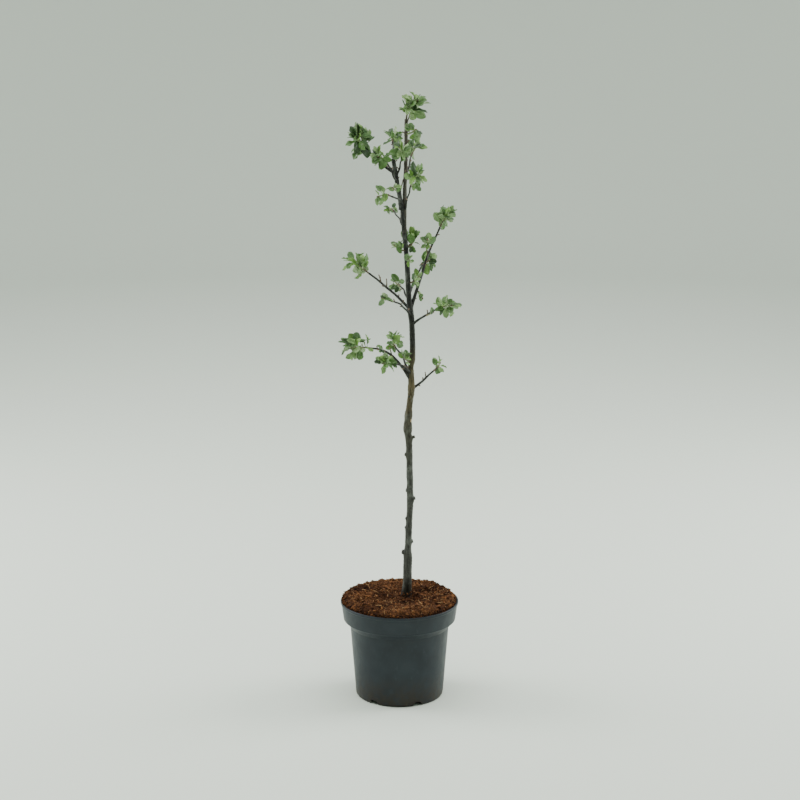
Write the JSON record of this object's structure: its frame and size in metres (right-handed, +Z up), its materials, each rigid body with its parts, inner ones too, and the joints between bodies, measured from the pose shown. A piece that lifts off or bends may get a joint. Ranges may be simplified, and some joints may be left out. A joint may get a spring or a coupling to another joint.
{
  "type": "dwarf apple tree in a pot",
  "caption": "Young dwarf apple tree with a bare wavy stem, a forked top and sparse leafy shoots on short boughs, in a round tapered plastic pot filled with peat.",
  "frame": {"origin": "middle of the pot's flat underside, where it stands on the floor", "axes": "+Z up along the stem, +X to the right of the front view, +Y away from it"},
  "size_m": [0.2174, 0.222, 1.0995],
  "materials": {
    "pot": "matt dark slate plastic, scuffed, with dried soil round its foot",
    "soil": "moist red-brown peat and coir fibre",
    "bark": "grey-brown bark with knots, lenticels and pale scars",
    "foliage": "mid-green leaves with pale felted undersides on thin twigs"
  },
  "bodies": {
    "root": {"bough_fork_right": "bark", "bough_high_back": "bark", "bough_high_left": "bark", "bough_inner": "bark", "bough_low_back": "bark", "bough_low_front": "bark", "bough_low_left": "bark", "bough_low_right": "bark", "bough_mid_back": "bark", "bough_mid_front": "bark", "bough_mid_left": "bark", "bough_mid_right": "bark", "bough_small_left": "bark", "bough_spur": "bark", "bough_thin_left": "bark", "bough_top_left": "bark", "bough_upper_back": "bark", "bough_upper_right": "bark", "leader_left": "bark", "leader_right": "bark", "leaves_fork_right": "foliage", "leaves_high_back": "foliage", "leaves_high_left": "foliage", "leaves_inner": "foliage", "leaves_leader_left": "foliage", "leaves_low_back": "foliage", "leaves_low_foot": "foliage", "leaves_low_front": "foliage", "leaves_low_left": "foliage", "leaves_low_right": "foliage", "leaves_mid_back": "foliage", "leaves_mid_foot": "foliage", "leaves_mid_front": "foliage", "leaves_mid_left": "foliage", "leaves_mid_right": "foliage", "leaves_side": "foliage", "leaves_small_left": "foliage", "leaves_spur": "foliage", "leaves_thin_left": "foliage", "leaves_top": "foliage", "leaves_top_left": "foliage", "leaves_trunk_front": "foliage", "leaves_trunk_knot": "foliage", "leaves_trunk_left": "foliage", "leaves_trunk_low": "foliage", "leaves_trunk_rear": "foliage", "leaves_trunk_right": "foliage", "leaves_upper_back": "foliage", "leaves_upper_foot": "foliage", "leaves_upper_mid": "foliage", "leaves_upper_right": "foliage", "pot": "pot", "soil": "soil", "trunk": "bark"}
  },
  "joints": []
}
